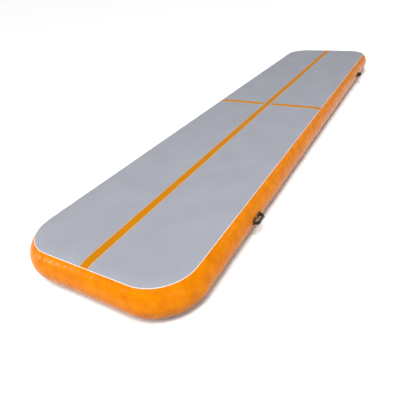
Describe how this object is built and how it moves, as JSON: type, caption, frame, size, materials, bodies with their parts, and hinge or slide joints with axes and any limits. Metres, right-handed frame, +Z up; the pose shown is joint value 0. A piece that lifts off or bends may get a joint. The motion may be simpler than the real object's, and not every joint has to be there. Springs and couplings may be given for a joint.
{
  "type": "air track mat",
  "caption": "Long flat inflatable tumbling mat: drop-stitch air cushion with rounded side walls, marking stripes, swinging carry handles and a capped air valve.",
  "frame": {"origin": "on the floor, under the middle of the mat", "axes": "+Y along the mat from its near end to the end with the valve, +X to the right, +Z up"},
  "size_m": [1.07, 4.5255, 0.2008],
  "materials": {
    "top_pvc": "satin lavender-grey coated fabric",
    "base_pvc": "matte dark grey coated fabric",
    "wall_pvc": "glossy orange coated fabric",
    "stripe_pvc": "semi-gloss orange tape",
    "seam_tape": "matte off-white coated tape",
    "yarn": "white polyester yarn",
    "webbing": "black woven webbing",
    "grip_rubber": "black ribbed rubber",
    "valve_plastic": "black moulded plastic",
    "valve_rubber": "black rubber",
    "spring_steel": "stainless spring wire"
  },
  "bodies": {
    "mat": {"top_sheet": "top_pvc", "bottom_sheet": "base_pvc", "side_wall_right": "wall_pvc", "side_wall_left": "wall_pvc", "end_wall_near": "wall_pvc", "end_wall_far": "wall_pvc", "splice_strip_near_right": "wall_pvc", "splice_strip_near_left": "wall_pvc", "splice_strip_far_right": "wall_pvc", "splice_strip_far_left": "wall_pvc", "seam_tape_top": "seam_tape", "seam_tape_bottom": "seam_tape", "centre_stripe": "stripe_pvc", "cross_stripe_right": "stripe_pvc", "cross_stripe_left": "stripe_pvc", "drop_stitch_row_1": "yarn", "drop_stitch_row_2": "yarn", "drop_stitch_row_3": "yarn", "drop_stitch_row_4": "yarn", "drop_stitch_row_5": "yarn", "drop_stitch_row_6": "yarn", "drop_stitch_row_7": "yarn", "handle_near_right_patch_a": "wall_pvc", "handle_near_right_anchor_a": "webbing", "handle_near_right_patch_b": "wall_pvc", "handle_near_right_anchor_b": "webbing", "handle_far_right_patch_a": "wall_pvc", "handle_far_right_anchor_a": "webbing", "handle_far_right_patch_b": "wall_pvc", "handle_far_right_anchor_b": "webbing", "handle_near_left_patch_a": "wall_pvc", "handle_near_left_anchor_a": "webbing", "handle_near_left_patch_b": "wall_pvc", "handle_near_left_anchor_b": "webbing", "handle_far_left_patch_a": "wall_pvc", "handle_far_left_anchor_a": "webbing", "handle_far_left_patch_b": "wall_pvc", "handle_far_left_anchor_b": "webbing", "valve_pad": "wall_pvc", "valve_body": "valve_plastic", "valve_nut": "valve_plastic", "valve_stem_guide": "valve_plastic", "valve_gasket": "valve_rubber", "valve_tether": "valve_rubber", "valve_spring": "spring_steel"},
    "handle_near_right": {"handle_near_right_strap": "webbing", "handle_near_right_grip": "grip_rubber"},
    "handle_far_right": {"handle_far_right_strap": "webbing", "handle_far_right_grip": "grip_rubber"},
    "handle_near_left": {"handle_near_left_strap": "webbing", "handle_near_left_grip": "grip_rubber"},
    "handle_far_left": {"handle_far_left_strap": "webbing", "handle_far_left_grip": "grip_rubber"},
    "valve_stem": {"valve_stem": "valve_plastic", "valve_seal": "valve_rubber"},
    "valve_cap_ring": {"valve_cap_ring": "valve_rubber"},
    "valve_cap": {"valve_cap": "valve_plastic"}
  },
  "joints": [
    {"name": "handle_near_right_swing", "type": "hinge", "parent": "mat", "child": "handle_near_right", "pos_m": [0.512, -1.465, 0.1], "axis": [0, -1, 0], "range_deg": [-60, 60]},
    {"name": "handle_near_left_swing", "type": "hinge", "parent": "mat", "child": "handle_near_left", "pos_m": [-0.512, -1.465, 0.1], "axis": [0, 1, 0], "range_deg": [-60, 60]},
    {"name": "handle_far_right_swing", "type": "hinge", "parent": "mat", "child": "handle_far_right", "pos_m": [0.512, 1.465, 0.1], "axis": [0, -1, 0], "range_deg": [-60, 60]},
    {"name": "handle_far_left_swing", "type": "hinge", "parent": "mat", "child": "handle_far_left", "pos_m": [-0.512, 1.465, 0.1], "axis": [0, 1, 0], "range_deg": [-60, 60]},
    {"name": "valve_cap_pull", "type": "slide", "parent": "mat", "child": "valve_cap_ring", "axis": [0, 1, 0], "range_m": [0, 0.028], "deforming": ["valve_tether"]},
    {"name": "valve_cap_turn", "type": "hinge", "parent": "valve_cap_ring", "child": "valve_cap", "pos_m": [0, 2.26, 0.1], "axis": [0, 1, 0], "range_deg": [0, 90]},
    {"name": "valve_stem_push", "type": "slide", "parent": "mat", "child": "valve_stem", "axis": [0, -1, 0], "range_m": [0, 0.006], "stiffness_N_per_m": 300, "springref_m": -0.01, "deforming": ["valve_spring"]}
  ]
}
